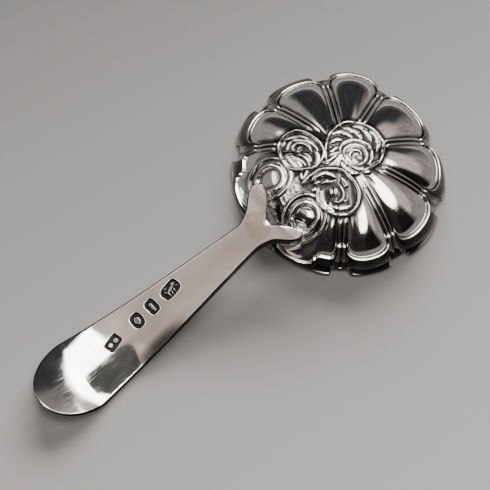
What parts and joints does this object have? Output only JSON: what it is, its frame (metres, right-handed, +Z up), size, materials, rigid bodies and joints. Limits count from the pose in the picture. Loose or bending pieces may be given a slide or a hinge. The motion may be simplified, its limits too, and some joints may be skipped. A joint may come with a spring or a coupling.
{
  "type": "caddy spoon",
  "caption": "Short spoon with a round, petalled and embossed bowl and a flat handle, forked and soldered to the bowl's back, turned up at its end.",
  "frame": {"origin": "under the middle of the whole spoon, on the surface it lies on", "axes": "+X along the spoon, from the end of the handle to the far rim of the bowl; +Y to the left; +Z up, out of the back of the bowl"},
  "size_m": [0.0772, 0.0364, 0.0088],
  "materials": {
    "silver_bowl": "stamped sterling silver, polished, with fine wear and darker hollows",
    "silver_handle": "sterling silver bar, polished, with fine scratches",
    "solder": "hard silver solder, dull and slightly yellow"
  },
  "bodies": {
    "root": {"bowl": "silver_bowl", "handle": "silver_handle", "solder_left": "solder", "solder_right": "solder"}
  },
  "joints": []
}
